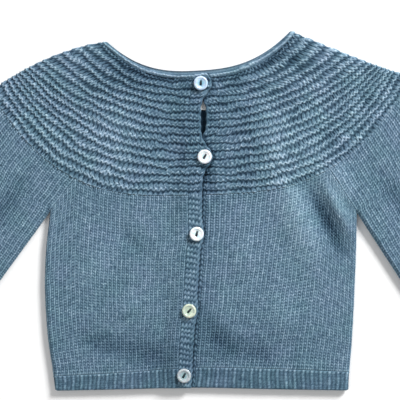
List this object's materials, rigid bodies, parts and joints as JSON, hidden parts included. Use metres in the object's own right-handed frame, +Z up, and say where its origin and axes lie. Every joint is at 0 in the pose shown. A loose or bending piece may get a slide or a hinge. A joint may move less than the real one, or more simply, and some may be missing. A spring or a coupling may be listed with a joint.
{
  "type": "baby cardigan",
  "caption": "Fine knit baby cardigan laid flat, with a ridged round yoke, long raglan sleeves, ribbed hem and cuffs and a buttoned front.",
  "frame": {"origin": "middle of the laid-out garment's box, on the surface it lies on", "axes": "+Z up out of the front, +Y from the hem to the neck, +X to the right as seen from above"},
  "size_m": [0.5268, 0.2883, 0.0124],
  "materials": {
    "wool_knit": "heathered blue-grey wool knit, matt with a short nap",
    "shell": "polished pale shell",
    "label_tape": "plain pale woven tape"
  },
  "bodies": {
    "root": {"yoke_front_left": "wool_knit", "yoke_front_right": "wool_knit", "yoke_back": "wool_knit", "neck_trim_front_left": "wool_knit", "neck_trim_front_right": "wool_knit", "neck_trim_back": "wool_knit", "body_front_left": "wool_knit", "body_front_right": "wool_knit", "body_back": "wool_knit", "hem_front_left": "wool_knit", "hem_front_right": "wool_knit", "hem_back": "wool_knit", "band_over": "wool_knit", "band_under": "wool_knit", "sleeve_left_front": "wool_knit", "sleeve_left_back": "wool_knit", "sleeve_right_front": "wool_knit", "sleeve_right_back": "wool_knit", "cuff_left_front": "wool_knit", "cuff_left_back": "wool_knit", "cuff_right_front": "wool_knit", "cuff_right_back": "wool_knit", "neck_label": "label_tape", "button_1": "shell", "button_2": "shell", "button_3": "shell", "button_4": "shell", "button_5": "shell"}
  },
  "joints": []
}
